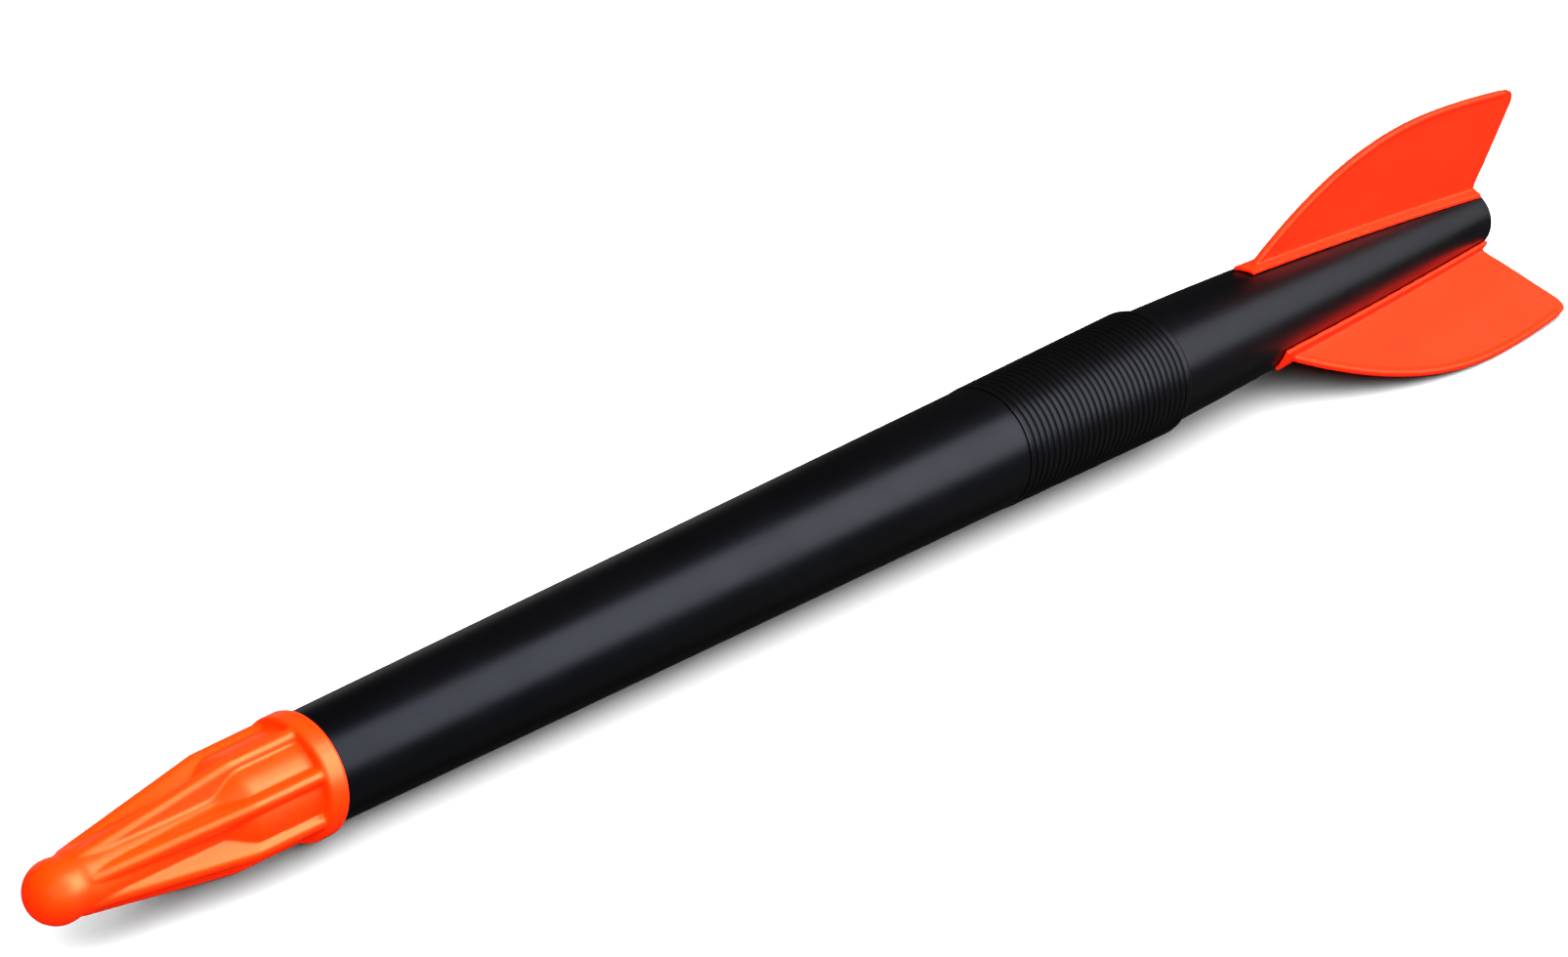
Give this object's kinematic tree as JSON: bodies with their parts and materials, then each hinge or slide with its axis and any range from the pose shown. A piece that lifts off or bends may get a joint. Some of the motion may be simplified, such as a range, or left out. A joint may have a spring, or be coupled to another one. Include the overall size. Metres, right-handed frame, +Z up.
{
  "type": "training javelin",
  "caption": "Hollow tapered throwing javelin for children, with a ribbed soft nose cap, a grooved grip sleeve and canted tail fins.",
  "frame": {"origin": "bottom centre of the bounding box, on the ground that the javelin rests on", "axes": "+X towards the nose along the longest extent, +Z up from the ground, +Y to the left of the nose"},
  "size_m": [0.7004, 0.0952, 0.083],
  "materials": {
    "soft_orange": "satin",
    "fin_orange": "satin",
    "satin_black": "satin",
    "grip_black": "satin"
  },
  "bodies": {
    "root": {"nose_cap": "soft_orange", "nose_plug": "satin_black", "front_barrel": "satin_black", "grip_sleeve": "grip_black", "tail_tube": "satin_black", "tail_plug": "satin_black", "fin_top": "fin_orange", "fin_left": "fin_orange", "fin_right": "fin_orange"}
  },
  "joints": []
}
